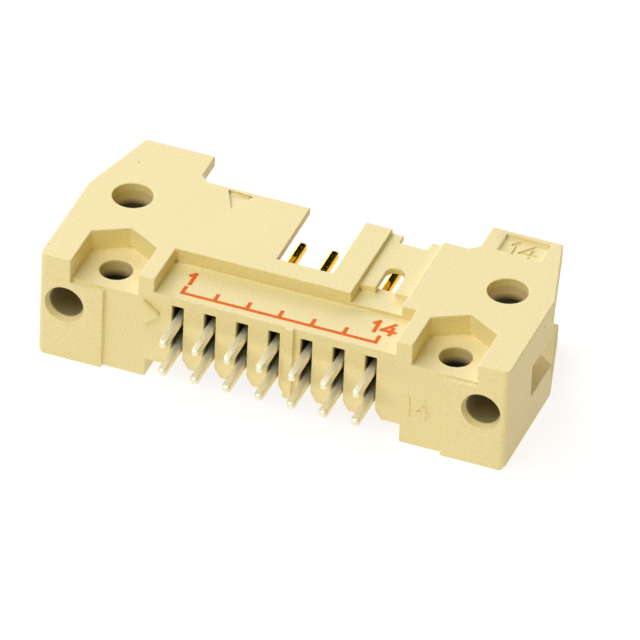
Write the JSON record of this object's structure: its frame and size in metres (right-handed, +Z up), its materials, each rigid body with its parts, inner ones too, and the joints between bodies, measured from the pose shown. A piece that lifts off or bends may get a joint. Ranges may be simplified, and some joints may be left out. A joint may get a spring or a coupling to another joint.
{
  "type": "circuit board header",
  "caption": "Shrouded box header for a ribbon cable: moulded housing with a key slot, lever ears, nut pockets and straight solder tails.",
  "frame": {"origin": "centre of the part's box, at the underside that it lies on", "axes": "+X along the rows towards the last contact, +Y out of the mating side, +Z up through the key slot"},
  "size_m": [0.037, 0.0194, 0.009],
  "materials": {
    "housing": "beige moulded plastic, satin",
    "contacts": "plated brass wire, pale on the solder tails"
  },
  "bodies": {
    "root": {"housing": "housing", "contact_1": "contacts", "contact_2": "contacts", "contact_3": "contacts", "contact_4": "contacts", "contact_5": "contacts", "contact_6": "contacts", "contact_7": "contacts", "contact_8": "contacts", "contact_9": "contacts", "contact_10": "contacts", "contact_11": "contacts", "contact_12": "contacts", "contact_13": "contacts", "contact_14": "contacts"}
  },
  "joints": []
}
